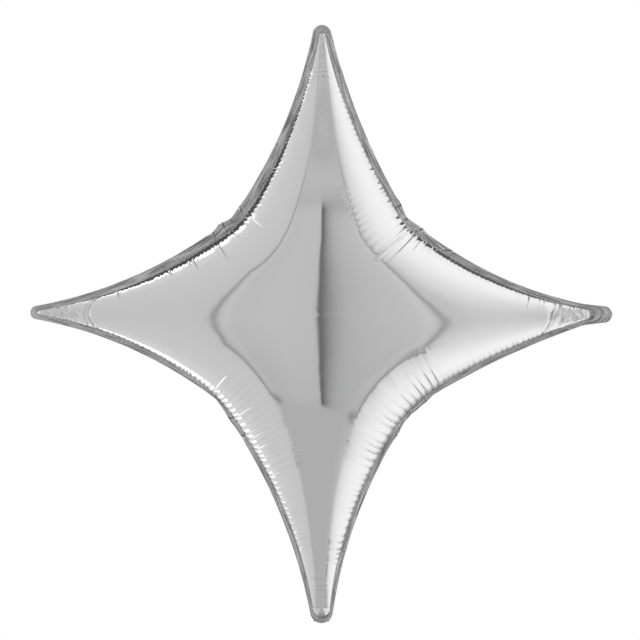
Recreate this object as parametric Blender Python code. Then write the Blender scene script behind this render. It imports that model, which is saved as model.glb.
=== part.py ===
"""Star foil balloon, inflated: two film panels welded together along a flat margin.

Metres, +Z up. The origin is the middle of the inflated envelope, where the centre lines of the
four arms meet. The margin lies in the XZ plane and the front panel bulges towards -Y.
"""

import math

import bmesh
import bpy
from mathutils import Matrix, Vector

# Outline of the balloon in the XZ plane, arms in anticlockwise order as seen from the front
ARMS = (
    # name, bearing from +X in degrees, reach from the centre, radius of its round end
    ("right", 0.1, 0.3012, 0.0075),
    ("top", 89.9, 0.3008, 0.0100),
    ("left", 179.3, 0.3023, 0.0090),
    ("bottom", 270.0, 0.3194, 0.0100),
)
WAISTS = (
    # x and z of the notch between an arm and the next one
    (0.0970, 0.0890),
    (-0.0870, 0.1050),
    (-0.1080, -0.0860),
    (0.0960, -0.0950),
)
EDGE_BOW = 0.0080  # how far an edge bows in from its chord between notch and tip
END_ARC_START = 75.0  # where a tip's arc meets the edge, in degrees from the arm's centre line
SMALLEST_END_RADIUS = 0.0012

# Film and welded margin
SEAL_WIDTH = 0.0064  # from the outline to the line where the panels part
SEAL_LAP = 0.0020  # how far the margin runs in under the rims of the panels
SEAL_THICKNESS = 0.0010
LAP_EDGE_THICKNESS = 0.0006
FILM_THICKNESS = 0.0010
CLEARANCE = 0.0003  # between pieces that touch

# Bulge of one panel above its rim
FULLNESS = 1.22  # height of the bulge over what the distances to the edges alone would give
END_TAPER = 4.0  # a larger value lets the bulge come down sooner towards the tips

# Filling neck, folded up behind the bottom arm
NECK_WIDTH = 0.0160
NECK_LENGTH = 0.0500
NECK_THICKNESS = 0.0016
NECK_FOLD_ABOVE_TIP = 0.0022
NECK_LEAN = 19.5  # degrees from upright, along the ridge of the bottom arm
MOUTH_WIDTH = 0.0116
MOUTH_HEIGHT = 0.0008
MOUTH_DEPTH = 0.0140
VALVE_WIDTH = 0.0110
VALVE_THICKNESS = 0.0002
VALVE_LENGTH = 0.0137

# Mesh density
EDGE_ROWS = 13
END_ROWS = 3
SECTION_STEPS = 6
ROOT_STEPS = 6

MATERIALS = {
    # name: (colour, metallic, roughness)
    "silver_film": ((0.80, 0.80, 0.81), 1.0, 0.12),
    "silver_seal": ((0.66, 0.66, 0.67), 1.0, 0.30),
    "clear_valve_film": ((0.86, 0.88, 0.90), 0.0, 0.25),
}


def clear_scene():
    """Remove every object of the open scene."""
    for found in list(bpy.data.objects):
        bpy.data.objects.remove(found, do_unlink=True)


def material(name):
    """Return the named Principled material."""
    colour, metallic, roughness = MATERIALS[name]
    made = bpy.data.materials.new(name)
    made.use_nodes = True
    made.diffuse_color = (*colour, 1.0)
    shader = made.node_tree.nodes["Principled BSDF"]
    shader.inputs["Base Color"].default_value = (*colour, 1.0)
    shader.inputs["Metallic"].default_value = metallic
    shader.inputs["Roughness"].default_value = roughness
    return made


def add_object(name, bm, surface):
    """Turn a closed bmesh into a smooth-shaded object with one material."""
    bmesh.ops.recalc_face_normals(bm, faces=bm.faces)
    mesh = bpy.data.meshes.new(name)
    bm.to_mesh(mesh)
    bm.free()
    mesh.shade_smooth()
    mesh.set_sharp_from_angle(angle=math.radians(40))
    mesh.materials.append(surface)
    made = bpy.data.objects.new(name, mesh)
    bpy.context.collection.objects.link(made)
    return made


class HalfArm:
    """One side of an arm: its centre line, and its edge from the notch to the end of the tip.

    The edge is an arc of a circle that lies outside the star, then the arc of the round end.
    """

    def __init__(self, arm, waist, inset):
        _, bearing, reach, end_radius = arm
        angle = math.radians(bearing)
        self.along = Vector((math.cos(angle), math.sin(angle)))
        across = Vector((-self.along.y, self.along.x))
        self.across = across if across.dot(Vector(waist)) > 0 else -across
        self.end_radius = max(end_radius - inset, SMALLEST_END_RADIUS)
        self.end_centre = reach - end_radius
        self.length = self.end_centre + self.end_radius
        self.notch = Vector(waist) * (1 - inset / Vector(waist).length)

        chord = self.end_point(END_ARC_START) - self.notch
        outward = Vector((-chord.y, chord.x)).normalized()
        if outward.dot(self.across) < 0:
            outward = -outward
        self.radius = (chord.length_squared / 4 + EDGE_BOW**2) / (2 * EDGE_BOW)
        self.centre = self.notch + chord / 2 + outward * (self.radius - EDGE_BOW)
        self.start = self.notch - self.centre
        self.turn = signed_angle(self.start, self.end_point(END_ARC_START) - self.centre)

    def end_point(self, degrees):
        """A point of the tip's arc, at an angle from the centre line."""
        angle = math.radians(degrees)
        along = self.end_centre + self.end_radius * math.cos(angle)
        return self.along * along + self.across * (self.end_radius * math.sin(angle))

    def edge_point(self, share):
        """A point of the bowed edge: the notch at 0, the start of the tip's arc at 1."""
        return self.centre + Matrix.Rotation(self.turn * share, 2) @ self.start

    def rows(self):
        """Pairs of a distance along the centre line and the edge point across from it."""
        arc_foot = self.end_point(END_ARC_START).dot(self.along)
        for step in range(EDGE_ROWS + 1):
            share = step / EDGE_ROWS
            yield arc_foot * share, self.edge_point(share)
        for step in range(1, END_ROWS + 1):
            point = self.end_point(END_ARC_START * (1 - step / END_ROWS))
            yield point.dot(self.along), point

    def clearance(self, place):
        """Distance from a place in the star to this edge, which ends at the notch."""
        from_centre = place - self.centre
        past_the_notch = signed_angle(self.start, from_centre) * self.turn < 0
        if past_the_notch:
            return (place - self.notch).length
        return from_centre.length - self.radius


def signed_angle(first, second):
    """The angle from one flat vector to another, anticlockwise positive."""
    return math.atan2(first.cross(second), first.dot(second))


def half_arms(inset):
    """The eight half arms, two beside each notch."""
    for index, waist in enumerate(WAISTS):
        yield HalfArm(ARMS[index], waist, inset)
        yield HalfArm(ARMS[(index + 1) % len(ARMS)], waist, inset)


def bulge(place, halves):
    """Height of a panel above its rim: round across the arms, a dome in the middle."""
    smallest = 1e-6
    sides = []
    for first, second in zip(halves[::2], halves[1::2]):
        sides.append(max(min(first.clearance(place), second.clearance(place)), smallest))
    hold = sum(1 / (side * after) for side, after in zip(sides, sides[1:] + sides[:1]))
    for half in halves[::2]:
        to_end = max(half.length - place.dot(half.along), smallest)
        outwards = max(half.length - to_end, 0) / half.length
        hold += END_TAPER * (outwards / to_end) ** 2
    return FULLNESS / math.sqrt(hold)


def outline(inset):
    """The closed outline, moved inward by inset, as points in anticlockwise order."""
    points = []
    for index, half in enumerate(half_arms(inset)):
        edge = [point for _, point in half.rows()]
        towards_notch = index % 2 == 0
        points += reversed(edge[1:]) if towards_notch else edge[:-1]
    return points


def build_panel(name, side, surface):
    """A dished film shell on one side of the margin; side is -1 at the front and 1 at the back."""
    rim_level = SEAL_THICKNESS / 2 + CLEARANCE
    bm = bmesh.new()
    halves = list(half_arms(SEAL_WIDTH))
    for half in halves:
        grid = []
        for distance, edge in half.rows():
            ridge_point = half.along * distance
            row = []
            for step in range(SECTION_STEPS + 1):
                share = math.sin(math.pi / 2 * step / SECTION_STEPS)
                flat = ridge_point.lerp(edge, share)
                on_rim = step == SECTION_STEPS or distance == half.length
                height = 0 if on_rim else bulge(flat, halves)
                row.append(bm.verts.new((flat.x, side * (rim_level + height), flat.y)))
            grid.append(row)
        for low, high in zip(grid, grid[1:]):
            for step in range(SECTION_STEPS):
                bm.faces.new((low[step], low[step + 1], high[step + 1], high[step]))
    bmesh.ops.remove_doubles(bm, verts=bm.verts, dist=1e-6)
    bmesh.ops.recalc_face_normals(bm, faces=bm.faces)
    bm.normal_update()
    middle = min(bm.verts, key=lambda vertex: vertex.co.x**2 + vertex.co.z**2)
    outward = 1 if middle.normal.y * side > 0 else -1

    inner_of = {}
    for vertex in list(bm.verts):
        normal = vertex.normal * outward
        if vertex.is_boundary:
            normal = Vector((normal.x, 0, normal.z)).normalized()
        height = side * vertex.co.y - rim_level
        drop = min(FILM_THICKNESS * abs(normal.y), height / 2)
        inner = vertex.co - normal * FILM_THICKNESS
        inner.y = vertex.co.y - side * drop
        inner_of[vertex] = inner
    outer_faces = list(bm.faces)
    rim = [edge for edge in bm.edges if edge.is_boundary]
    copies = {vertex: bm.verts.new(place) for vertex, place in inner_of.items()}
    for face in outer_faces:
        bm.faces.new([copies[vertex] for vertex in reversed(face.verts)])
    for edge in rim:
        start, end = edge.verts
        bm.faces.new((start, end, copies[end], copies[start]))
    return add_object(name, bm, surface)


def build_seal_margin(surface):
    """The flat welded strip all round the balloon, with the rims of both panels on its faces.

    Past the line where the panels part it thins towards its inner edge.
    """
    profile = (
        (0.0, SEAL_THICKNESS / 2),
        (SEAL_WIDTH - CLEARANCE, SEAL_THICKNESS / 2),
        (SEAL_WIDTH + SEAL_LAP, LAP_EDGE_THICKNESS / 2),
    )
    front = [(inset, -level) for inset, level in profile]
    section = front + list(reversed(profile))
    bm = bmesh.new()
    loops = []
    for inset, level in section:
        loops.append([bm.verts.new((p.x, level, p.y)) for p in outline(inset)])
    for here, following in zip(loops, loops[1:] + loops[:1]):
        for index, vertex in enumerate(here):
            after = (index + 1) % len(here)
            bm.faces.new((vertex, here[after], following[after], following[index]))
    return add_object("seal_margin", bm, surface)


def neck_fold():
    """The fold of the neck: an axis along X, just behind the margin above the bottom tip."""
    reach = ARMS[-1][2]
    behind = SEAL_THICKNESS / 2 + CLEARANCE + NECK_THICKNESS / 2
    return Vector((0, behind, NECK_FOLD_ABOVE_TIP - reach))


def add_box(bm, width, thickness, start, end):
    """A box around the Z axis from one height to another."""
    size = Matrix.Diagonal((width, thickness, end - start, 1))
    place = Matrix.Translation((0, 0, (start + end) / 2))
    bmesh.ops.create_cube(bm, size=1.0, matrix=place @ size)


def build_filling_neck(surface):
    """The flat sleeve of the neck, rounded at its fold, with a slot in its open end."""
    radius = NECK_THICKNESS / 2
    profile = [(radius, NECK_LENGTH), (-radius, NECK_LENGTH)]
    for step in range(ROOT_STEPS + 1):
        angle = math.pi * (1 + step / ROOT_STEPS)
        profile.append((radius * math.cos(angle), radius * math.sin(angle)))
    bm = bmesh.new()
    start = [bm.verts.new((-NECK_WIDTH / 2, y, z)) for y, z in profile]
    sleeve = bm.faces.new(start)
    grown = bmesh.ops.extrude_face_region(bm, geom=[sleeve])
    moved = [item for item in grown["geom"] if isinstance(item, bmesh.types.BMVert)]
    bmesh.ops.translate(bm, vec=(NECK_WIDTH, 0, 0), verts=moved)
    neck = add_object("filling_neck", bm, surface)

    bm = bmesh.new()
    past_the_end = NECK_LENGTH + MOUTH_DEPTH
    add_box(bm, MOUTH_WIDTH, MOUTH_HEIGHT, NECK_LENGTH - MOUTH_DEPTH, past_the_end)
    slot = add_object("mouth_cutter", bm, surface)
    slot.hide_render = True
    slot.display_type = "WIRE"
    slot.parent = neck
    cut = neck.modifiers.new("mouth", "BOOLEAN")
    cut.operation = "DIFFERENCE"
    cut.solver = "EXACT"
    cut.object = slot

    neck.location = neck_fold()
    neck.rotation_euler = (-math.radians(NECK_LEAN), 0, 0)
    return neck


def build_valve_film(neck, surface):
    """The flat strip of the self-closing valve, in the slot of the neck."""
    bm = bmesh.new()
    add_box(bm, VALVE_WIDTH, VALVE_THICKNESS, NECK_LENGTH - VALVE_LENGTH, NECK_LENGTH)
    valve = add_object("valve_film", bm, surface)
    valve.parent = neck
    return valve


def main():
    """Build the whole balloon."""
    clear_scene()
    film = material("silver_film")
    build_panel("front_panel", -1, film)
    build_panel("back_panel", 1, film)
    build_seal_margin(material("silver_seal"))
    neck = build_filling_neck(film)
    build_valve_film(neck, material("clear_valve_film"))


main()
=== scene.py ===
"""Looks of the star foil balloon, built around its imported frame.

Metres, +Z up, the front of the balloon towards -Y. The film panels and the welded margin are
grids that follow the outline. Their bulge is a formula of the distances to the four weld lines
between the tips, and the puckers are laid out along those lines.
"""

import math

import bpy
import numpy as np
from bpy.props import FloatProperty, FloatVectorProperty, PointerProperty
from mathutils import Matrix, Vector, noise


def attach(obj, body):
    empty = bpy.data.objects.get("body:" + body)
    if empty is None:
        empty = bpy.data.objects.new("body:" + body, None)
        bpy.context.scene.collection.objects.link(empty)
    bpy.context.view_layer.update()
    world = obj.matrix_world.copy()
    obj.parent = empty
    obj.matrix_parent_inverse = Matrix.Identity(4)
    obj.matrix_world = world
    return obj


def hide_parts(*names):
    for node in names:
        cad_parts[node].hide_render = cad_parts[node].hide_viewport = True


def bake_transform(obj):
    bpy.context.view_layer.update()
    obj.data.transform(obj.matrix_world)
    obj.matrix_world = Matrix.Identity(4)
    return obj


bl_info = {
    "name": "Star Foil Balloon",
    "version": (1, 0, 0),
    "blender": (4, 5, 0),
    "location": "3D View > Sidebar > Balloon",
    "description": "Builds an inflated star balloon of silver film",
    "category": "Add Mesh",
}

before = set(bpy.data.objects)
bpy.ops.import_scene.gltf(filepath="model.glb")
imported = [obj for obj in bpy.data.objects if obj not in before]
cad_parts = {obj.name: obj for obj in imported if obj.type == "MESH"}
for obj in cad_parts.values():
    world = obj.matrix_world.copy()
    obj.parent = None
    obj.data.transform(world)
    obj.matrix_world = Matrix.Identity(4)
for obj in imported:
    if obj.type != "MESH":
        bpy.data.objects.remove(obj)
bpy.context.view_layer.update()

# Arms in anticlockwise order as seen from the front, bearing in degrees from +X
BEARINGS = (0.1, 89.9, 179.5, 270.0)

# Outer edge of the margin. Reach of each arm from the centre, and radius of its round end
MARGIN_ENDS = ((0.3016, 0.0086), (0.3008, 0.0098), (0.3023, 0.0070), (0.3196, 0.0118))
# The right arm narrows early to a tab: where the tab starts, and half its width there
MARGIN_TAB = (0.2732, 0.0108)
# The notch after each arm: corner and bow of the edge of that arm, corner and bow of the next arm's
MARGIN_NOTCHES = (
    ((0.1112, 0.0836), 0.0100, (0.0899, 0.1007), 0.0077),
    ((-0.0868, 0.1096), 0.0099, (-0.0932, 0.1013), 0.0138),
    ((-0.1110, -0.0862), 0.0119, (-0.1085, -0.0889), 0.0133),
    ((0.0867, -0.1103), 0.0117, (0.1148, -0.0835), 0.0047),
)

# Weld line, where the two films part: the ends, the bows, and the margin's width at each notch
WELD_ENDS = ((0.2785, 0.0056), (0.2925, 0.0032), (0.2950, 0.0024), (0.3125, 0.0092))
WELD_BOWS = ((0.0101, 0.0086), (0.0092, 0.0140), (0.0134, 0.0147), (0.0128, 0.0053))
NOTCH_WIDTHS = (0.0062, 0.0100, 0.0034, 0.0053)
NOTCH_ROUNDING = (0.012, 0.018, 0.022, 0.016)  # how far along each edge the weld line's notch is rounded

# Bulge of the panels
FULLNESS = 1.22
END_TAPER = 3.0
# Where each arm's inflated part ends, over which length it does, and the share left beyond
CRIMPS = ((0.2400, 0.016, 0.76), (0.2560, 0.016, 0.95), (0.2440, 0.022, 0.84), (0.2800, 0.014, 0.92))
# Creases across the arms: arm, reach at the centre line, slant, bend per metre, half length, depth, width
GROOVES = (
    (0, 0.2385, 0.34, 9, 0.022, 0.00060, 0.0011),
    (0, 0.2425, 0.40, 9, 0.018, 0.00040, 0.0009),
    (0, 0.2515, 0.70, 0, 0.009, 0.00022, 0.0009),
    (0, 0.2590, 0.75, 0, 0.007, 0.00020, 0.0008),
    (1, 0.2450, 0.08, 18, 0.010, 0.00016, 0.0012),
    (1, 0.2505, -0.05, 18, 0.012, 0.00020, 0.0012),
    (1, 0.2550, 0.04, 16, 0.009, 0.00014, 0.0010),
    (2, 0.2400, 0.00, 34, 0.020, 0.00050, 0.0009),
    (2, 0.2440, 0.05, 30, 0.018, 0.00036, 0.0008),
    (2, 0.2680, 0.00, 30, 0.008, 0.00025, 0.0009),
    (3, 0.2720, 0.10, 6, 0.009, 0.00012, 0.0012),
    (3, 0.2790, -0.14, 8, 0.008, 0.00016, 0.0010),
    (3, 0.2840, 0.05, 8, 0.007, 0.00014, 0.0010),
    (3, 0.2910, 0.12, 10, 0.008, 0.00014, 0.0010),
)
# Crinkled flat ends: arm, start and full from the centre, height of the crinkles
CRINKLES = ((0, 0.240, 0.248, 0.00042), (1, 0.268, 0.276, 0.00014), (2, 0.242, 0.250, 0.00036),
            (3, 0.285, 0.297, 0.00016))

# Rows and columns of the grids
ROWS = 300
COLUMNS = 40
MARGIN_COLUMNS = 14
COLUMN_CROWDING = 1.8  # how much closer the columns are at the weld line
RIDGE_LEAD = 0.7  # how far the middle of a row runs ahead of its ends
END_ARC_START = 75.0  # where a tip's arc meets the edge, in degrees from the arm's centre line

SMALL = 1e-6


class Edge:
    """One side of an arm in the XZ plane: an arc from a corner of the notch to the tip's round end."""

    def __init__(self, bearing, end, corner, bow, tab):
        reach, self.end_radius = end
        angle = math.radians(bearing)
        self.along = np.array([math.cos(angle), math.sin(angle)])
        across = np.array([-self.along[1], self.along[0]])
        self.corner = np.array(corner)
        self.across = across if across @ self.corner > 0 else -across
        self.length = reach
        self.end_centre = reach - self.end_radius
        self.stop = self.end_point(math.radians(END_ARC_START))
        if tab:
            self.stop = self.along * tab[0] + self.across * tab[1]
        chord = self.stop - self.corner
        span = np.linalg.norm(chord)
        outward = np.array([-chord[1], chord[0]]) / span
        if outward @ self.across < 0:
            outward = -outward
        self.radius = (span**2 / 4 + bow**2) / (2 * bow)
        self.centre = self.corner + chord / 2 + outward * (self.radius - bow)
        self.start = self.corner - self.centre
        self.hand = math.copysign(1, cross(self.start, self.stop - self.centre))
        self.turn = float(self.angle_of(self.stop))

    def trim(self, length):
        """Move the corner along the arc towards the tip."""
        angle = length / self.radius
        self.start = turned(self.start, self.hand * angle)
        self.corner = self.centre + self.start
        self.turn -= angle

    def end_point(self, angle):
        """A point of the tip's arc, at an angle from the centre line."""
        forward = self.end_centre + self.end_radius * math.cos(angle)
        return self.along * forward + self.across * self.end_radius * math.sin(angle)

    def angle_of(self, places):
        """How far round the arc each place lies, from the corner towards the tip."""
        rel = places - self.centre
        return self.hand * np.arctan2(cross(self.start, rel), rel @ self.start)

    def line(self, lead, count):
        """Points from the middle of the notch to the end of the tip, evenly spaced.

        The lead is the part from the middle to the corner.
        """
        steps = 400
        points = list(lead)
        for step in range(steps):
            points.append(self.centre + turned(self.start, self.hand * self.turn * step / steps))
        for step in range(25):
            points.append(self.end_point(math.radians(END_ARC_START) * (1 - step / 24)))
        points = np.array(points)
        gone = np.concatenate([[0], np.cumsum(np.linalg.norm(np.diff(points, axis=0), axis=1))])
        wanted = np.linspace(0, gone[-1], count + 1)
        return np.stack([np.interp(wanted, gone, points[:, axis]) for axis in (0, 1)], axis=1)


def cross(first, second):
    """Cross product of flat vectors."""
    return first[..., 0] * second[..., 1] - first[..., 1] * second[..., 0]


class Notch:
    """The outline between two tips: an edge, the notch and the next arm's edge."""

    def __init__(self, index, ends, row, rounding, tabs):
        after = (index + 1) % len(BEARINGS)
        self.first = Edge(BEARINGS[index], ends[index], row[0], row[1], tabs[index])
        self.second = Edge(BEARINGS[after], ends[after], row[2], row[3], tabs[after])
        self.first.trim(rounding)
        self.second.trim(rounding)
        gap = self.second.corner - self.first.corner
        self.width = np.linalg.norm(gap)
        self.outward = np.array([gap[1], -gap[0]]) / self.width
        if self.outward @ self.first.corner < 0:
            self.outward = -self.outward
        # The normals at the two corners meet in a pivot outside, and the rounded notch turns about it
        start = -self.first.start / self.first.radius
        stop = -self.second.start / self.second.radius
        reach = np.linalg.solve(np.stack([start, -stop], axis=1), gap)
        self.pivot = self.first.corner + start * reach[0]
        self.radii = reach
        self.start = -start
        self.fan = float(np.arctan2(cross(-start, -stop), start @ stop))

    def radius(self, share):
        """Radius of the rounded notch at a share of its turn."""
        return self.radii[0] + (self.radii[1] - self.radii[0]) * smooth(share)

    def measure(self, places):
        """Distance inwards from this part of the outline, and place along it from its middle.

        Places along it are negative on the first arm's side.
        """
        rel = places - self.pivot
        share = np.arctan2(cross(self.start, rel), rel @ self.start) / self.fan
        depth = np.linalg.norm(rel, axis=1) - self.radius(share)
        place = (share - 0.5) * self.width
        for edge, sign in ((self.first, -1), (self.second, 1)):
            angle = edge.angle_of(places)
            beside = angle > 0
            away = np.linalg.norm(places - edge.centre, axis=1) - edge.radius
            depth = np.where(beside, away, depth)
            place = np.where(beside, sign * (self.width / 2 + angle * edge.radius), place)
        return depth, place

    def lines(self, count, rounded):
        """Points from the middle of the notch to either tip; the notch is rounded or straight."""
        made = []
        middle = (self.first.corner + self.second.corner) / 2
        for edge, end in ((self.first, 0), (self.second, 1)):
            lead = [middle + (edge.corner - middle) * step / 20 for step in range(20)]
            if rounded:
                shares = np.linspace(0.5, end, 20, endpoint=False)
                lead = [self.pivot + self.radius(share) * turned(self.start, share * self.fan)
                        for share in shares]
            made.append(edge.line(lead, count))
        return made


def turned(arrow, angle):
    """A flat vector turned by an angle."""
    spin = np.array([[math.cos(angle), -math.sin(angle)], [math.sin(angle), math.cos(angle)]])
    return spin @ arrow


def margin_outline():
    """The four notches of the margin's outer edge."""
    tabs = (MARGIN_TAB, None, None, None)
    return [Notch(index, MARGIN_ENDS, row, 0, tabs) for index, row in enumerate(MARGIN_NOTCHES)]


def weld_outline():
    """The four notches of the weld line, which runs inside the margin's outer edge."""
    made = []
    for outer, row, bows, width, rounding in zip(
            margin_outline(), MARGIN_NOTCHES, WELD_BOWS, NOTCH_WIDTHS, NOTCH_ROUNDING):
        inset = outer.outward * width
        inner = (row[0] - inset, bows[0], row[2] - inset, bows[1])
        made.append(Notch(len(made), WELD_ENDS, inner, rounding, (None,) * len(BEARINGS)))
    return made


def smooth(value):
    """0 below 0, 1 above 1, and an even slope between."""
    value = np.clip(value, 0, 1)
    return value * value * (3 - 2 * value)


def bulge(places, weld):
    """Height of a film above the weld's plane."""
    depths = [np.maximum(notch.measure(places)[0], SMALL) for notch in weld]
    hold = sum(1 / (depth * after) for depth, after in zip(depths, depths[1:] + depths[:1]))
    for notch in weld:
        edge = notch.first
        forward = places @ edge.along
        beyond = np.maximum(forward - edge.end_centre, 0)
        across = places - np.outer(forward, edge.along)
        spread = np.where(beyond > 0, np.hypot(beyond, np.linalg.norm(across, axis=1)), 0)
        to_end = np.where(beyond > 0, edge.end_radius - spread, edge.length - forward)
        outwards = np.clip(forward / edge.length, 0, 1)
        hold = hold + END_TAPER * (outwards / np.maximum(to_end, SMALL)) ** 2
    height = FULLNESS / np.sqrt(hold)
    for notch, (reach, length, share) in zip(weld, CRIMPS):
        forward = places @ notch.first.along
        height = height * (1 - (1 - share) * smooth((forward - reach) / length + 0.5))
    return height


def film_grid(weld):
    """Flat places of a panel's vertices, and its faces. Neighbouring quarters share vertices."""
    places = []
    faces = []
    known = {}

    def index_of(place):
        key = (round(place[0] * 1e7), round(place[1] * 1e7))
        if key not in known:
            known[key] = len(places)
            places.append(place)
        return known[key]

    crowd = 1 - (1 - np.linspace(0, 1, COLUMNS + 1)) ** COLUMN_CROWDING
    share = np.linspace(0, 1, ROWS + 1)
    for notch in weld:
        rims = notch.lines(ROWS, True)
        for edge, rim, reverse in ((notch.first, rims[0], True), (notch.second, rims[1], False)):
            ridge = np.outer(edge.length * share * (1 + RIDGE_LEAD * (1 - share)), edge.along)
            grid = []
            for low, high in zip(ridge, rim):
                grid.append([index_of(tuple(low + (high - low) * step)) for step in crowd])
            for near, far in zip(grid, grid[1:]):
                for step in range(COLUMNS):
                    face = [near[step], near[step + 1], far[step + 1], far[step]]
                    face = list(dict.fromkeys(face))
                    if len(face) > 2:
                        faces.append(face[::-1] if reverse else face)
    return np.array(places), faces


def new_mesh(name, vertices, faces, surface):
    """A smooth-shaded object from arrays."""
    mesh = bpy.data.meshes.new(name)
    mesh.from_pydata([tuple(vertex) for vertex in vertices], [], faces)
    mesh.validate()
    mesh.shade_smooth()
    mesh.materials.append(surface)
    made = bpy.data.objects.new(name, mesh)
    bpy.context.scene.collection.objects.link(made)
    return made


def new_material(name):
    """A material with a Principled shader and its node tree."""
    made = bpy.data.materials.new(name)
    made.use_nodes = True
    tree = made.node_tree
    return made, tree, tree.nodes["Principled BSDF"]


def silver_film(name, colour, roughness):
    """Mirror film with a faint unevenness of tone, gloss and surface, and painted shade darkening its creases.
    """
    made, tree, shader = new_material(name)
    nodes, links = tree.nodes, tree.links
    place = nodes.new("ShaderNodeTexCoord")
    cloud = nodes.new("ShaderNodeTexNoise")
    cloud.inputs["Scale"].default_value = 9.0
    cloud.inputs["Detail"].default_value = 3.0
    links.new(place.outputs["Object"], cloud.inputs["Vector"])
    tone = nodes.new("ShaderNodeValToRGB")
    tone.color_ramp.elements[0].color = (*[channel * 0.97 for channel in colour], 1)
    tone.color_ramp.elements[1].color = (*colour, 1)
    links.new(cloud.outputs["Fac"], tone.inputs["Fac"])
    # Painted shade: the base colour is darkened towards 0.42 times itself in the creases, by a painted
    # attribute
    crease_shade = nodes.new("ShaderNodeAttribute")
    crease_shade.attribute_name = "crease_shade"
    shade = nodes.new("ShaderNodeMix")
    shade.data_type = "RGBA"
    shade.blend_type = "MULTIPLY"
    shade.inputs["B"].default_value = (0.42, 0.42, 0.42, 1)
    links.new(crease_shade.outputs["Fac"], shade.inputs["Factor"])
    links.new(tone.outputs["Color"], shade.inputs["A"])
    links.new(shade.outputs["Result"], shader.inputs["Base Color"])
    gloss = nodes.new("ShaderNodeMapRange")
    gloss.inputs["To Min"].default_value = roughness * 0.8
    gloss.inputs["To Max"].default_value = roughness * 1.25
    links.new(cloud.outputs["Fac"], gloss.inputs["Value"])
    links.new(gloss.outputs["Result"], shader.inputs["Roughness"])
    grain = nodes.new("ShaderNodeTexNoise")
    grain.inputs["Scale"].default_value = 160.0
    grain.inputs["Detail"].default_value = 4.0
    links.new(place.outputs["Object"], grain.inputs["Vector"])
    bump = nodes.new("ShaderNodeBump")
    bump.inputs["Strength"].default_value = 0.04
    bump.inputs["Distance"].default_value = 0.0004
    links.new(grain.outputs["Fac"], bump.inputs["Height"])
    links.new(bump.outputs["Normal"], shader.inputs["Normal"])
    shader.inputs["Metallic"].default_value = 1.0
    return made


# Zones of puckers: notch, start and end along the weld line, spacing, length and height of a pucker
PUCKERS = (
    (0, -0.155, -0.030, 0.0045, 0.013, 0.00055, 2),
    (0, -0.030, 0.030, 0.0060, 0.024, 0.00060, 2),
    (0, 0.028, 0.085, 0.0056, 0.012, 0.00060, 2),
    (0, 0.085, 0.170, 0.0058, 0.010, 0.00035, 2),
    (1, -0.170, -0.070, 0.0044, 0.009, 0.00090, 2),
    (1, -0.070, 0.110, 0.0050, 0.012, 0.00095, 2),
    (1, 0.110, 0.168, 0.0045, 0.007, 0.00060, 2),
    (2, -0.160, -0.060, 0.0056, 0.012, 0.00040, 2),
    (2, -0.060, -0.008, 0.0052, 0.018, 0.00070, 2),
    (2, -0.008, 0.100, 0.0060, 0.048, 0.00095, 2),
    (2, 0.100, 0.180, 0.0056, 0.018, 0.00070, 2),
    (3, -0.185, -0.080, 0.0064, 0.018, 0.00070, 2),
    (3, -0.080, 0.038, 0.0073, 0.042, 0.00115, 3),
    (3, 0.038, 0.155, 0.0056, 0.012, 0.00045, 2),
)
# Ripples away from the weld line: notch, start and stop along it, spacing, start and stop inwards, height
RIPPLES = (
    (0, -0.004, 0.072, 0.0060, 0.008, 0.046, 0.00018),
    (2, 0.004, 0.110, 0.0064, 0.012, 0.044, 0.00014),
    (3, -0.070, 0.030, 0.0073, 0.016, 0.042, 0.00005),
)
# Single long folds: notch, place along the weld line, where they start and end inwards, height, width
FOLDS = (
    (1, -0.0068, 0.003, 0.036, 0.00114, 0.0012),
    (1, -0.0040, 0.002, 0.018, 0.00095, 0.0011),
    (1, 0.0005, 0.003, 0.014, 0.00095, 0.0011),
    (1, 0.0150, 0.004, 0.024, 0.00114, 0.0013),
    (1, 0.0195, 0.004, 0.013, 0.00095, 0.0011),
    (1, 0.0355, 0.004, 0.032, 0.00114, 0.0013),
    (1, 0.0395, 0.004, 0.019, 0.00095, 0.0011),
    (1, 0.0655, 0.004, 0.024, 0.00114, 0.0013),
    (1, 0.0700, 0.004, 0.015, 0.00095, 0.0011),
    (1, 0.0920, 0.003, 0.014, 0.00095, 0.0012),
    (1, 0.1500, 0.001, 0.014, 0.00095, 0.0012),
    (0, 0.0042, 0.002, 0.054, 0.00160, 0.0016),
    (0, 0.0074, 0.002, 0.030, 0.00110, 0.0014),
    (0, -0.0040, 0.003, 0.038, 0.00112, 0.0015),
    (0, -0.0120, 0.002, 0.026, 0.00112, 0.0015),
    (0, -0.0240, 0.002, 0.022, 0.00096, 0.0015),
    (0, -0.1370, 0.002, 0.016, 0.00080, 0.0012),
    (2, -0.0069, 0.002, 0.030, 0.00112, 0.0016),
)
# Painted shade in the grooves across the arms, per metre of their depth
GROOVE_SHADE = 900.0  # per metre of depth
# Painted shade along the puckers' creases: its width, its depth of tone, and how far in from the weld it is
# stronger
CREASE_WIDTH = 0.16  # share of the spacing
CREASE_SHADE = 0.26
TICK_LENGTH = 0.003


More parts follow.
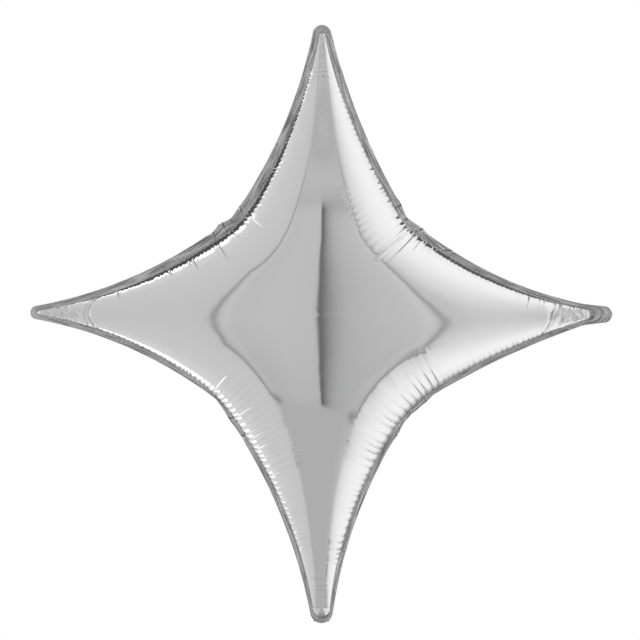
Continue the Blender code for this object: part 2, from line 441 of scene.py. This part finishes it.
def puckers(depth, place, zone, seed):
    """Height of one zone's puckers and the painted shade in their creases.

    The puckers are round lobes between creases that run in from the weld.
    """
    _, start, stop, spacing, length, height, power = zone
    draw = np.random.default_rng(seed)
    count = max(int((stop - start) / spacing), 2)
    gaps = draw.uniform(0.7, 1.3, count)
    creases = start + (stop - start) * np.concatenate([[0], np.cumsum(gaps)]) / gaps.sum()
    lengths = length * draw.uniform(0.6, 1.1, count)
    heights = height * draw.uniform(0.7, 1.2, count)
    index = np.clip(np.searchsorted(creases, place) - 1, 0, count - 1)
    left, right = creases[index], creases[index + 1]
    part = (place - left) / (right - left)
    lobe = np.where((part > 0) & (part < 1), 1 - np.abs(2 * part - 1) ** power, 0)
    run = np.clip(depth / lengths[index], 0, 1)
    rise = smooth(depth / 0.0015)
    fade = (1 - run**1.6) ** 1.5
    beside = np.minimum(np.abs(place - left), np.abs(place - right)) / spacing
    within = (place > start) & (place < stop) & (run < 1)
    crease_shade = np.where(within, np.exp(-((beside / CREASE_WIDTH) ** 2)) * fade * rise, 0)
    tick = np.exp(-((depth / TICK_LENGTH) ** 2))
    return heights[index] * lobe * rise * fade, crease_shade * (CREASE_SHADE + tick)


def ripple_height(depth, place, ripple):
    """Height of a run of ripples that are strongest two thirds of the way in."""
    _, start, stop, spacing, near, far, height = ripple
    run = np.clip((depth - near) / (far - near), 0, 1)
    ends = softly(place - start, 0.008) * softly(stop - place, 0.008)
    sway = 0.9 * np.sin(place / 0.013) + 0.5 * np.sin(place / 0.0057)
    return height * ends * np.sin(math.pi * run**1.6) * np.sin(math.tau * place / spacing + sway)


def fold_height(depth, place, fold):
    """Height of one long narrow fold that tapers inwards from the weld line."""
    _, middle, start, stop, height, width = fold
    run = (depth - start) / (stop - start)
    taper = smooth(run / 0.12) * np.clip(1 - run, 0, 1) ** 0.6
    return height * taper * np.exp(-(((place - middle) / (width * (0.35 + 0.65 * taper))) ** 2))


def groove_depth(places, groove):
    """Depth of one crease across an arm."""
    arm, reach, slant, bend, half, depth, width = groove
    angle = math.radians(BEARINGS[arm])
    along = np.array([math.cos(angle), math.sin(angle)])
    across = places @ np.array([-along[1], along[0]])
    gap = places @ along - reach - slant * across + bend * across**2
    return depth * np.exp(-((gap / width) ** 2)) * softly(half - np.abs(across), 0.006)


def softly(value, feather):
    """0 well below 0, 1 well above, over a feathered width."""
    return smooth(value / feather + 0.5)


def slow_noise(places, scale, seed):
    """Smooth noise from -1 to 1 over flat places."""
    shift = Vector((seed * 7.3, seed * 3.1, seed * 5.7))
    return np.array([noise.noise(Vector((x / scale, z / scale, 0)) + shift) for x, z in places])


def build_panel(name, node, side, seed, settings):
    """One film panel; side is -1 at the front and 1 at the back."""
    weld = weld_outline()
    places, faces = film_grid(weld)
    height = bulge(places, weld)
    reach = 0.0004
    slope_x = (bulge(places + (reach, 0), weld) - bulge(places - (reach, 0), weld)) / (2 * reach)
    slope_z = (bulge(places + (0, reach), weld) - bulge(places - (0, reach), weld)) / (2 * reach)
    normal = np.stack([-slope_x, np.ones(len(places)), -slope_z], axis=1)
    normal /= np.linalg.norm(normal, axis=1)[:, None]
    lift = np.zeros(len(places))
    # Painted shade for the creases of puckers and grooves, kept as an attribute that darkens the film's colour
    crease_shade = np.zeros(len(places))
    depths = [notch.measure(places) for notch in weld]
    for number, zone in enumerate(PUCKERS):
        depth, place = depths[zone[0]]
        raised, dark = puckers(np.maximum(depth, 0), place, zone, seed + number)
        lift += settings.pucker_depth * raised
        crease_shade = np.maximum(crease_shade, dark)
    for fold in FOLDS:
        depth, place = depths[fold[0]]
        lift += settings.pucker_depth * fold_height(depth, place, fold)
    for ripple in RIPPLES:
        depth, place = depths[ripple[0]]
        lift += settings.pucker_depth * ripple_height(depth, place, ripple)
    for groove in GROOVES:
        deep = groove_depth(places, groove)
        lift -= settings.pucker_depth * deep
        crease_shade = np.maximum(crease_shade, GROOVE_SHADE * deep)
    for arm, start, full, height_of in CRINKLES:
        angle = math.radians(BEARINGS[arm])
        forward = places @ (math.cos(angle), math.sin(angle))
        there = np.flatnonzero(forward > start)
        ridges = slow_noise(places[there], 0.0065, seed + 20 + arm)
        fine = slow_noise(places[there], 0.0028, seed + 30 + arm)
        crumple = (1 - np.abs(ridges) * 2.4) + 0.4 * (1 - np.abs(fine) * 2.4)
        lift[there] += height_of * crumple * smooth((forward[there] - start) / (full - start))
    away = np.minimum.reduce([depth for depth, _ in depths])
    lift *= smooth(away / 0.0012)
    lift += settings.waviness * slow_noise(places, 0.045, seed) * smooth(away / 0.02)
    if side > 0:
        height = below_neck(places, height)
    height = np.where(away < SMALL, 0, height)
    lift = np.where(away < SMALL, 0, lift)
    vertices = np.stack([places[:, 0], height + 0.0001, places[:, 1]], axis=1) + normal * lift[:, None]
    vertices[:, 1] *= side
    if side > 0:
        faces = [face[::-1] for face in faces]
    film = silver_film(f"silver_{name}", settings.film_colour, settings.film_roughness)
    made = new_mesh(name, vertices, faces, film)
    # Painted shade of the creases, read by the film's material
    made.data.attributes.new("crease_shade", "FLOAT", "POINT").data.foreach_set("value", np.clip(crease_shade, 0, 1))
    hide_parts(node)
    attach(made, "envelope")
    return made


def silver_margin(colour, roughness):
    """Welded film: duller, with fine streaks along the outline and painted shade along the creases of its
    folds.
    """
    made, tree, shader = new_material("silver_margin")
    nodes, links = tree.nodes, tree.links
    strip = nodes.new("ShaderNodeAttribute")
    strip.attribute_name = "strip"
    stretch = nodes.new("ShaderNodeMapping")
    stretch.inputs["Scale"].default_value = (38.0, 5.5, 0.0)
    links.new(strip.outputs["Vector"], stretch.inputs["Vector"])
    streaks = nodes.new("ShaderNodeTexNoise")
    streaks.inputs["Scale"].default_value = 1.0
    streaks.inputs["Detail"].default_value = 4.0
    streaks.inputs["Distortion"].default_value = 0.4
    links.new(stretch.outputs["Vector"], streaks.inputs["Vector"])
    tone = nodes.new("ShaderNodeValToRGB")
    tone.color_ramp.elements[0].position = 0.36
    tone.color_ramp.elements[0].color = (*[channel * 0.42 for channel in colour], 1)
    tone.color_ramp.elements[1].position = 0.58
    tone.color_ramp.elements[1].color = (*colour, 1)
    links.new(streaks.outputs["Fac"], tone.inputs["Fac"])
    # Painted shade: the colour goes almost black along the creases of the margin's folds
    apart = nodes.new("ShaderNodeSeparateXYZ")
    links.new(strip.outputs["Vector"], apart.inputs["Vector"])
    shade = nodes.new("ShaderNodeMix")
    shade.data_type = "RGBA"
    shade.inputs["B"].default_value = (0.03, 0.03, 0.03, 1)
    links.new(apart.outputs["Z"], shade.inputs["Factor"])
    links.new(tone.outputs["Color"], shade.inputs["A"])
    links.new(shade.outputs["Result"], shader.inputs["Base Color"])
    place = nodes.new("ShaderNodeTexCoord")
    grain = nodes.new("ShaderNodeTexNoise")
    grain.inputs["Scale"].default_value = 420.0
    grain.inputs["Detail"].default_value = 3.0
    links.new(place.outputs["Object"], grain.inputs["Vector"])
    both = nodes.new("ShaderNodeMath")
    both.operation = "MULTIPLY_ADD"
    both.inputs[1].default_value = 0.6
    links.new(grain.outputs["Fac"], both.inputs[0])
    links.new(streaks.outputs["Fac"], both.inputs[2])
    bump = nodes.new("ShaderNodeBump")
    bump.inputs["Strength"].default_value = 0.55
    bump.inputs["Distance"].default_value = 0.0006
    links.new(both.outputs["Value"], bump.inputs["Height"])
    links.new(bump.outputs["Normal"], shader.inputs["Normal"])
    shader.inputs["Metallic"].default_value = 1.0
    shader.inputs["Roughness"].default_value = roughness
    return made


# Crumpled folds of the margin: share of the outline from the right tip, half length, height, how far out
MARGIN_FOLDS = (
    (0.0990, 0.006, 0.0016, 0.0004), (0.1190, 0.006, 0.0018, 0.0010), (0.1290, 0.007, 0.0020, -0.0008),
    (0.1370, 0.005, 0.0014, 0.0012), (0.3600, 0.006, 0.0014, 0.0006), (0.3730, 0.006, 0.0022, 0.0024),
    (0.3805, 0.004, 0.0016, -0.0006), (0.6200, 0.006, 0.0016, 0.0008), (0.6320, 0.005, 0.0012, -0.0006),
    (0.8610, 0.007, 0.0018, 0.0010), (0.8740, 0.006, 0.0020, -0.0008), (0.8860, 0.006, 0.0014, 0.0006),
)
# Painted shade along each fold's crease
FOLD_CREASE = 0.0008  # half width of the dark line in each


def margin_creases(step, gone, whole):
    """Painted shade in the folds' creases, and how far out the outline runs there."""
    dark = np.zeros(len(gone))
    out = np.zeros(len(gone))
    for share, half, _, jut in MARGIN_FOLDS:
        beside = gone - share * whole
        crease_shade = np.exp(-(((beside - (step - 0.5) * 0.006) / FOLD_CREASE) ** 2))
        dark = np.maximum(dark, crease_shade * (1 - 0.6 * step))
        out += jut * np.exp(-((beside / half) ** 2)) * (1 - step)
    return dark, out


def margin_wave(step, gone, whole):
    """Height of the margin's streaks and crinkles at a share of its width, along the outline."""
    sway = 0.30 * np.sin(gone / 0.029) + 0.22 * np.sin(gone / 0.0113 + 1.7)
    wave = 0.00050 * np.sin(math.tau * (0.9 * step + sway))
    wave += 0.00045 * np.abs(np.sin(math.pi * (2.3 * step + 1.3 * sway + gone / 0.11))) - 0.0002
    crinkle = np.sin(gone / 0.00085 + 3 * np.sin(gone / 0.007)) * np.sin(gone / 0.0052)
    wave += 0.00012 * crinkle
    for share, half, height, _ in MARGIN_FOLDS:
        beside = (gone - share * whole - (step - 0.5) * 0.004) / half
        wave += height * (1 - step) * np.sin(beside * 4.4) * np.exp(-(beside**2) * 2.5)
    return wave * (1 - step**3)


def build_margin(settings):
    """The welded margin: a thin strip all round with streaks along it."""
    outer = margin_outline()
    weld = weld_outline()
    outside = []
    inside = []
    for far, near in zip(outer, weld):
        for made, lines in ((outside, far.lines(ROWS, False)), (inside, near.lines(ROWS, True))):
            made.append(lines[0][::-1][:-1])
            made.append(lines[1][:-1])
    outside = np.concatenate(outside)
    inside = np.concatenate(inside)
    count = len(outside)
    inward = inside - outside
    inward /= np.linalg.norm(inward, axis=1)[:, None]
    tucked = inside + inward * 0.0015
    steps = np.linspace(0, 1, MARGIN_COLUMNS + 1)
    rows = []
    gone = np.concatenate([[0], np.cumsum(np.linalg.norm(np.diff(outside, axis=0), axis=1))])
    for step in steps:
        dark, out = margin_creases(step, gone, gone[-1])
        flat = outside + (tucked - outside) * step - inward * out[:, None]
        rows.append((flat, margin_wave(step, gone, gone[-1]) * settings.margin_waves, dark))
    calm = softly(outside[:, 1] + NECK_CALM_ABOVE, 0.02)
    vertices = []
    strip = []
    for sign in (-1, 1):
        for step, (flat, wave, dark) in zip(steps, rows):
            level = sign * settings.margin_thickness / 2 + wave * (0.15 + 0.85 * calm)
            vertices.append(np.stack([flat[:, 0], level, flat[:, 1]], axis=1))
            # The strip's third value is the painted shade of the fold creases
            strip.append(np.stack([gone, np.full(count, step), dark], axis=1))
    vertices = np.concatenate(vertices)
    faces = []
    layers = len(rows)
    for layer in range(2):
        for step in range(layers - 1):
            base = (layer * layers + step) * count
            for index in range(count):
                after = (index + 1) % count
                face = [base + index, base + after, base + count + after, base + count + index]
                faces.append(face if layer == 0 else face[::-1])
    back = layers * count
    for index in range(count):
        after = (index + 1) % count
        faces.append([index, back + index, back + after, after])
    made = new_mesh("welded_margin", vertices, faces, silver_margin(settings.margin_colour, 0.16))
    strip_layer = made.data.attributes.new("strip", "FLOAT_VECTOR", "POINT")
    strip_layer.data.foreach_set("vector", np.concatenate(strip).ravel())
    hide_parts("seal_margin")
    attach(made, "envelope")
    return made


# The filling neck, folded up behind the lowest tip: its crease, size, lean and mouth
NECK_CREASE = (0.0, 0.0016, -0.3172)
NECK_WIDTH = 0.0160
NECK_LENGTH = 0.0500
NECK_HALF = 0.00075
NECK_LEAN = math.radians(19.5)
NECK_WELD = 0.0021  # width of the weld along each of its sides
NECK_ROOT = 0.0006
NECK_CALM_ABOVE = 0.292  # the margin lies flatter below this depth, where the neck is joined
NECK_GAP = 0.0004
VALVE_WIDTH = 0.0104
VALVE_START = 0.0370
VALVE_END = 0.0496


def neck_places(local):
    """Places in the neck's own frame, taken to where the neck lies. Its length runs along +Z."""
    x, y, z = local.T
    turn_y = y * math.cos(NECK_LEAN) + z * math.sin(NECK_LEAN)
    turn_z = -y * math.sin(NECK_LEAN) + z * math.cos(NECK_LEAN)
    return np.stack([x + NECK_CREASE[0], turn_y + NECK_CREASE[1], turn_z + NECK_CREASE[2]], axis=1)


def grid_faces(rows, columns, closed):
    """Faces of a grid of vertices, joined round if closed."""
    faces = []
    for row in range(rows - 1):
        for column in range(columns if closed else columns - 1):
            after = (column + 1) % columns
            low, high = row * columns, (row + 1) * columns
            faces.append([low + column, low + after, high + after, high + column])
    return faces


def build_neck(settings):
    """The flat sleeve: two films welded along both sides, open at the mouth, with soft cross waves."""
    across = 44
    rows = 150
    turn = np.arange(2 * across) * math.pi / across
    x = -np.cos(turn) * NECK_WIDTH / 2
    side = np.where(np.arange(2 * across) < across, 1.0, -1.0)
    side[[0, across]] = 0.0
    inner = NECK_WIDTH / 2 - NECK_WELD
    vertices = []
    for length in np.linspace(NECK_ROOT, NECK_LENGTH, rows):
        gape = smooth((length - 0.030) / 0.020)
        swell = (0.00022 + 0.00030 * gape) * np.sqrt(np.clip(1 - (x / inner) ** 2, 0, 1))
        wave = 0.00010 * np.sin(length / 0.0021 + 2 * np.sin(length / 0.009) + 40 * x)
        ruck = 0.00006 * np.sin(length / 0.0008 + 3 * np.sin(length / 0.004)) * (np.abs(x) > inner)
        y = side * (0.00010 + swell) + wave * smooth(length / 0.004) + ruck
        y = np.clip(y, -NECK_HALF, NECK_HALF)
        vertices.append(np.stack([x, y, np.full_like(x, length)], axis=1))
    film = silver_film("neck_film", settings.film_colour, settings.film_roughness)
    sleeve = new_mesh("neck_sleeve", neck_places(np.concatenate(vertices)),
                      grid_faces(rows, 2 * across, True), film)
    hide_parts("filling_neck")
    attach(sleeve, "neck")


def build_crease(settings):
    """The folded film that joins the margin to the neck, round the crease."""
    path = [(-0.0009, length) for length in np.linspace(0.0052, 0.0004, 9)]
    path += [(-0.0009 * math.cos(turn), -0.0009 * math.sin(turn)) for turn in np.linspace(0, math.pi, 15)]
    path += [(0.0009 - 0.0001 * length / 0.005, length) for length in np.linspace(0.0004, 0.0052, 9)]
    path = np.array(path)
    columns = 40
    x = np.linspace(-0.5, 0.5, columns) * (NECK_WIDTH + 0.0006)
    vertices = []
    for layer in (1, -1):
        for index, (y, z) in enumerate(path):
            ahead = path[min(index + 1, len(path) - 1)] - path[max(index - 1, 0)]
            normal = np.array([-ahead[1], ahead[0]]) / np.linalg.norm(ahead)
            tuck = 0.00012 * np.sin(x / 0.0011 + index * 0.35) * layer
            place = np.array([y, z]) + normal * 0.00008 * layer
            lean = NECK_LEAN * index / (len(path) - 1)
            y_turned = place[0] * math.cos(lean) + place[1] * math.sin(lean)
            z_turned = -place[0] * math.sin(lean) + place[1] * math.cos(lean)
            vertices.append(np.stack([x, y_turned + NECK_CREASE[1] + tuck * 0.5,
                                      np.full_like(x, z_turned + NECK_CREASE[2])], axis=1))
    count = len(path)
    faces = grid_faces(count, columns, False)
    faces += [[index + count * columns for index in face[::-1]] for face in faces]
    film = silver_film("crease_film", settings.film_colour, settings.film_roughness)
    fold = new_mesh("neck_crease", np.concatenate(vertices), faces, film)
    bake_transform(fold)


def clear_film(colour):
    """Clear plastic film with a milky unevenness and fine lengthwise wrinkles."""
    made, tree, shader = new_material("clear_valve_film")
    nodes, links = tree.nodes, tree.links
    place = nodes.new("ShaderNodeTexCoord")
    cloud = nodes.new("ShaderNodeTexNoise")
    cloud.inputs["Scale"].default_value = 240.0
    cloud.inputs["Detail"].default_value = 4.0
    links.new(place.outputs["Object"], cloud.inputs["Vector"])
    tone = nodes.new("ShaderNodeValToRGB")
    tone.color_ramp.elements[0].color = (*[channel * 0.86 for channel in colour], 1)
    tone.color_ramp.elements[1].color = (*colour, 1)
    links.new(cloud.outputs["Fac"], tone.inputs["Fac"])
    links.new(tone.outputs["Color"], shader.inputs["Base Color"])
    wrinkles = nodes.new("ShaderNodeTexWave")
    wrinkles.inputs["Scale"].default_value = 160.0
    wrinkles.inputs["Distortion"].default_value = 3.0
    links.new(place.outputs["Object"], wrinkles.inputs["Vector"])
    bump = nodes.new("ShaderNodeBump")
    bump.inputs["Strength"].default_value = 0.25
    bump.inputs["Distance"].default_value = 0.0002
    links.new(wrinkles.outputs["Fac"], bump.inputs["Height"])
    links.new(bump.outputs["Normal"], shader.inputs["Normal"])
    shader.inputs["Roughness"].default_value = 0.14
    shader.inputs["Alpha"].default_value = 0.65
    return made


def build_valve(settings):
    """The clear strip of the self-closing valve, wavy, in the mouth of the neck."""
    columns = 28
    rows = 40
    x = np.linspace(-0.5, 0.5, columns) * VALVE_WIDTH
    vertices = []
    for layer in (1, -1):
        for length in np.linspace(VALVE_START, VALVE_END, rows):
            wave = 0.00007 * np.sin(x / 0.0013 + length / 0.003)
            y = wave + layer * 0.00004
            vertices.append(np.stack([x, y, np.full_like(x, length)], axis=1))
    faces = grid_faces(rows, columns, False)
    faces += [[index + rows * columns for index in face[::-1]] for face in faces]
    strip = new_mesh("valve_strip", neck_places(np.concatenate(vertices)), faces,
                     clear_film(settings.valve_colour))
    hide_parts("valve_film")
    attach(strip, "neck")


def below_neck(places, height):
    """The back film's height, pressed in where the neck lies on it."""
    rise = (places[:, 1] - NECK_CREASE[2]) * math.tan(NECK_LEAN)
    limit = NECK_CREASE[1] + rise - NECK_HALF / math.cos(NECK_LEAN) - NECK_GAP
    reach = softly(NECK_WIDTH / 2 + 0.002 - np.abs(places[:, 0]), 0.004)
    reach = reach * softly(NECK_CREASE[2] + NECK_LENGTH + 0.010 - places[:, 1], 0.024)
    over = np.maximum(height - limit, 0) * reach
    return height - over


# Studio around the balloon, which only its mirror film sees: a dome with these painted on it.
# Angles in degrees, tones as in a finished picture from 0 to 1
DOME_RADIUS = 6.0
DOME_STEPS = 480
# Azimuth from the front and tone of the room's walls: grey on the left, white on the right
ROOM = ((-180, 0.78), (-150, 0.86), (-110, 0.81), (-90, 0.785), (-60, 0.772), (-45, 0.757), (-40, 0.745),
        (40, 0.735), (44, 0.75), (50, 0.825), (58, 0.865), (72, 0.915), (87, 0.94), (110, 0.96),
        (135, 0.93), (155, 0.82), (180, 0.78))
FLOOR_ZONE = (-29.5, 4, -42, 7, 42, 30, 0.680)  # top and feather, left, feather, right, feather, tone
OPENING_TOP = 44.5
# Azimuth and elevation of its lower edge, then elevation and azimuth of its left and right side
OPENING_FOOT = ((-40, -31.5), (0, -30.3), (5, -30.3), (25, -33), (48, -36))
OPENING_LEFT = ((-34, -47.5), (-30, -47), (-27.6, -44.7), (-18, -41.3), (-5, -39.6), (12, -38.4),
                (25, -38.3), (36, -39.8), (44, -37))
OPENING_RIGHT = ((-35, 49.5), (-30, 44.8), (-18.6, 42.7), (-6, 41.8), (6.4, 40.4), (20, 39.8),
                 (32, 41), (36, 42.5), (44, 40))
OPENING_CORNER = 5.0
REAR_SHRINK = 1.6  # a smaller opening like it is painted behind the balloon
OPENING_FEATHER = 1.0
OPENING_RIM = (0.8, 0.17)  # width and depth of the dark line round it
OPENING_LIP = (-3.0, 1.6, 0.025)  # place, width and gain of the light band inside the line
CEILING = (37.0, 2.2, 0.70)  # elevation, feather and tone of the plain part above the walls
CEILING_RIM = (1.8, 0.05)
# Across the opening, azimuth and tone: a plain left wall, a dark gap and a wall that brightens
WALLS = ((-40, 0.725), (-20, 0.741), (-5, 0.735), (-3, 0.730), (-2, 0.715), (-1.3, 0.60), (-0.8, 0.47),
         (-0.3, 0.40), (0, 0.39), (1, 0.43), (2, 0.475), (3, 0.515), (4, 0.545), (5.5, 0.59), (7.5, 0.625),
         (10, 0.66), (14, 0.69), (20, 0.71), (28, 0.73), (38, 0.748))
# Elevation and azimuth of the gap
GAP = ((-40, 7), (-27.4, 3.9), (-19.2, 1.6), (-7.6, 0), (3.2, -0.9), (9.6, -0.8), (22.8, -0.2), (44, -0.3))
FLOOR_FADE = ((-35, 0.93), (-20, 0.975), (0, 1.0), (90, 1.0))
# Patches: centre off -Y and around it, half sizes, feather, tone
PATCHES = (
    (98, 90, 30, 20, 10, 0.600),
    (101, 181, 28, 18, 10, 1.15),
    (98, 0, 30, 16, 10, 0.640),
    (98, 271, 30, 20, 10, 0.560),
    (118, 124, 5, 17, 4, 1.15),
    (135, 234, 12, 14, 7, 1.25),
    (136, 134, 12, 29, 5, 0.300),
    (137, 57, 11, 15, 5, 0.350),
    (148, 0, 20, 18, 12, 0.720),
    (153, 33, 8, 8, 6, 0.640),
    (156, 320, 18, 28, 12, 0.700),
)
FILM_MIRRORS = 0.88  # share of the light that the film gives back


def opening_distance(azimuth, elevation):
    """Signed distance in degrees from the rounded opening's edge, negative inside it."""
    low = np.interp(azimuth, *zip(*OPENING_FOOT))
    left = np.interp(elevation, *zip(*OPENING_LEFT))
    right = np.interp(elevation, *zip(*OPENING_RIGHT))
    off_x = np.abs(azimuth - (left + right) / 2) - (right - left) / 2 + OPENING_CORNER
    off_y = np.abs(elevation - (low + OPENING_TOP) / 2) - (OPENING_TOP - low) / 2 + OPENING_CORNER
    outside = np.hypot(np.maximum(off_x, 0), np.maximum(off_y, 0))
    return outside + np.minimum(np.maximum(off_x, off_y), 0) - OPENING_CORNER


def opening_tones(azimuth, elevation, tone):
    """The room's tones with the opening painted into them."""
    top, soft, left, left_soft, right, right_soft, value = FLOOR_ZONE
    mask = softly(top - elevation, soft) * softly(azimuth - left, left_soft)
    tone = tone + (value - tone) * mask * softly(right - azimuth, right_soft)
    edge = opening_distance(azimuth, elevation)
    from_gap = azimuth - np.interp(elevation, *zip(*GAP))
    inside = np.interp(from_gap, *zip(*WALLS)) * np.interp(elevation, *zip(*FLOOR_FADE))
    level, soft, value = CEILING
    inside += (value - inside) * softly(elevation - level, soft)
    width, depth = CEILING_RIM
    inside -= depth * np.exp(-(((elevation - level) / width) ** 2)) * softly(azimuth + 2, 4)
    tone = tone + (inside - tone) * softly(-edge, OPENING_FEATHER)
    above_floor = np.maximum(softly(elevation + 27, 8), softly(np.abs(azimuth) - 36, 8))
    width, depth = OPENING_RIM
    tone -= depth * np.exp(-((edge / width) ** 2)) * above_floor * (1 - 0.75 * softly(elevation - 42, 4))
    place, width, gain = OPENING_LIP
    return tone + gain * np.exp(-(((edge - place) / width) ** 2)) * above_floor


def studio_tones(direction):
    """Tone of the studio in each direction."""
    x, y, z = direction.T
    azimuth = np.degrees(np.arctan2(x, -y))
    elevation = np.degrees(np.arcsin(np.clip(z, -1, 1)))
    off = np.degrees(np.arccos(np.clip(-y, -1, 1)))
    around = np.degrees(np.arctan2(z, x))
    tone = opening_tones(azimuth, elevation, np.interp(azimuth, *zip(*ROOM)))
    for centre_off, centre_around, half_off, half_around, feather, value in PATCHES:
        turned = (around - centre_around + 180) % 360 - 180
        mask = softly(half_off - np.abs(off - centre_off), feather)
        mask = mask * softly(half_around - np.abs(turned), feather)
        tone += (value - tone) * mask
    behind = np.where(azimuth > 0, azimuth - 180, azimuth + 180) * REAR_SHRINK
    return np.where(y < 0, tone, opening_tones(behind, elevation * REAR_SHRINK, tone))


def build_dome():
    """The dome that the film mirrors. The camera and the floor don't see it."""
    steps = DOME_STEPS
    turns = np.arange(2 * steps) * math.pi / steps
    falls = np.linspace(0, math.pi, steps + 1)[1:-1]
    fall, turn = np.meshgrid(falls, turns, indexing="ij")
    direction = np.stack([np.sin(fall) * np.sin(turn), -np.sin(fall) * np.cos(turn), np.cos(fall)], axis=-1)
    direction = np.concatenate([direction.reshape(-1, 3), [[0, 0, 1], [0, 0, -1]]])
    faces = []
    across = 2 * steps
    rings = len(falls)
    for ring in range(rings - 1):
        for turn in range(across):
            after = (turn + 1) % across
            low = ring * across
            faces.append([low + turn, low + after, low + across + after, low + across + turn])
    top, bottom = rings * across, rings * across + 1
    for turn in range(across):
        after = (turn + 1) % across
        faces.append([top, after, turn])
        faces.append([bottom, (rings - 1) * across + turn, (rings - 1) * across + after])
    dome = new_mesh("studio_dome", direction * DOME_RADIUS, faces, glow())
    tone = studio_tones(direction)
    light = np.where(tone < 1, np.maximum(tone, 0) ** 2.2, tone**2) / FILM_MIRRORS
    layer = dome.data.color_attributes.new("tone", "FLOAT_COLOR", "POINT")
    layer.data.foreach_set("color", np.repeat(np.stack([light] * 3 + [np.ones_like(light)], 1), 1, 0).ravel())
    dome.visible_camera = False
    dome.visible_diffuse = False
    dome.visible_shadow = False


def glow():
    """Soft light whose tone is painted on the mesh."""
    made = bpy.data.materials.new("dome_glow")
    made.use_nodes = True
    nodes, links = made.node_tree.nodes, made.node_tree.links
    nodes.clear()
    tone = nodes.new("ShaderNodeAttribute")
    tone.attribute_name = "tone"
    light = nodes.new("ShaderNodeEmission")
    out = nodes.new("ShaderNodeOutputMaterial")
    links.new(tone.outputs["Color"], light.inputs["Color"])
    links.new(light.outputs["Emission"], out.inputs["Surface"])
    return made


def build_stage():
    """Floor, light, studio dome and camera."""
    scene = bpy.context.scene
    build_dome()

    world = bpy.data.worlds.new("studio")
    scene.world = world
    world.use_nodes = True
    world.node_tree.nodes["Background"].inputs["Color"].default_value = (1, 1, 1, 1)
    world.node_tree.nodes["Background"].inputs["Strength"].default_value = 1.0
    scene.view_settings.view_transform = "Standard"

    floor_ring = 64
    ring = [(3 * math.cos(k * math.tau / floor_ring), 3 * math.sin(k * math.tau / floor_ring), -1.6)
            for k in range(floor_ring)]
    made, tree, shader = new_material("pale_floor")
    shader.inputs["Base Color"].default_value = (0.9, 0.9, 0.9, 1)
    shader.inputs["Roughness"].default_value = 0.8
    floor = new_mesh("floor", ring, [list(range(floor_ring))], made)
    floor.visible_glossy = False

    camera = bpy.data.cameras.new("camera")
    camera.lens = 119.3
    camera.sensor_width = 36
    placed = bpy.data.objects.new("camera", camera)
    placed.location = (-0.0016, -2.2, -0.0052)
    placed.rotation_euler = (math.pi / 2, 0, 0)
    scene.collection.objects.link(placed)
    scene.camera = placed


class BalloonSettings(bpy.types.PropertyGroup):
    """Sizes and colours of the balloon."""

    film_colour: FloatVectorProperty(
        name="Film colour", description="Colour of the mirror film", subtype="COLOR",
        size=3, min=0, max=1, default=(0.88, 0.88, 0.89))
    film_roughness: FloatProperty(
        name="Film roughness", description="Blur of what the film mirrors", min=0, max=1, default=0.06)
    pucker_depth: FloatProperty(
        name="Pucker depth", description="Height of the puckers, 1 as on the real one", min=0, max=3, default=1)
    waviness: FloatProperty(
        name="Waviness", description="Height of the slow waves of the film", unit="LENGTH", default=0.00002)
    margin_colour: FloatVectorProperty(
        name="Margin colour", description="Colour of the welded margin", subtype="COLOR",
        size=3, min=0, max=1, default=(0.75, 0.75, 0.76))
    valve_colour: FloatVectorProperty(
        name="Valve colour", description="Colour of the clear valve film", subtype="COLOR",
        size=3, min=0, max=1, default=(0.86, 0.88, 0.90))
    margin_waves: FloatProperty(
        name="Margin waves", description="Height of the margin's waves, 1 as on the real one",
        min=0, max=3, default=1)
    margin_thickness: FloatProperty(
        name="Margin thickness", description="Thickness of the margin", unit="LENGTH", default=0.0003)


class BALLOON_OT_panels(bpy.types.Operator):
    """Build the front and back film"""

    bl_idname = "balloon.panels"
    bl_label = "Film Panels"

    def execute(self, context):
        settings = context.scene.balloon
        build_panel("front_film", "front_panel", -1, 11, settings)
        build_panel("back_film", "back_panel", 1, 53, settings)
        return {"FINISHED"}


class BALLOON_OT_margin(bpy.types.Operator):
    """Build the welded margin"""

    bl_idname = "balloon.margin"
    bl_label = "Welded Margin"

    def execute(self, context):
        build_margin(context.scene.balloon)
        return {"FINISHED"}


class BALLOON_OT_neck(bpy.types.Operator):
    """Build the filling neck, its crease and its valve strip"""

    bl_idname = "balloon.neck"
    bl_label = "Filling Neck"

    def execute(self, context):
        settings = context.scene.balloon
        build_neck(settings)
        build_crease(settings)
        build_valve(settings)
        return {"FINISHED"}


class BALLOON_OT_stage(bpy.types.Operator):
    """Build the floor, the studio and the camera"""

    bl_idname = "balloon.stage"
    bl_label = "Stage"

    def execute(self, context):
        build_stage()
        return {"FINISHED"}


class BALLOON_PT_sidebar(bpy.types.Panel):
    """Lists the steps of the balloon"""

    bl_label = "Foil Balloon"
    bl_idname = "BALLOON_PT_sidebar"
    bl_space_type = "VIEW_3D"
    bl_region_type = "UI"
    bl_category = "Balloon"

    def draw(self, context):
        for step in STEPS:
            self.layout.operator(step.bl_idname)


STEPS = (BALLOON_OT_stage, BALLOON_OT_panels, BALLOON_OT_margin, BALLOON_OT_neck)
CLASSES = (BalloonSettings, *STEPS, BALLOON_PT_sidebar)


def register():
    """Register the classes and the settings."""
    for made in CLASSES:
        bpy.utils.register_class(made)
    bpy.types.Scene.balloon = PointerProperty(type=BalloonSettings)


def unregister():
    """Undo register."""
    del bpy.types.Scene.balloon
    for made in reversed(CLASSES):
        bpy.utils.unregister_class(made)


def main():
    """Register the add-on and build everything."""
    register()
    bpy.ops.balloon.stage()
    bpy.ops.balloon.panels()
    bpy.ops.balloon.margin()
    bpy.ops.balloon.neck()


if __name__ == "__main__":
    main()
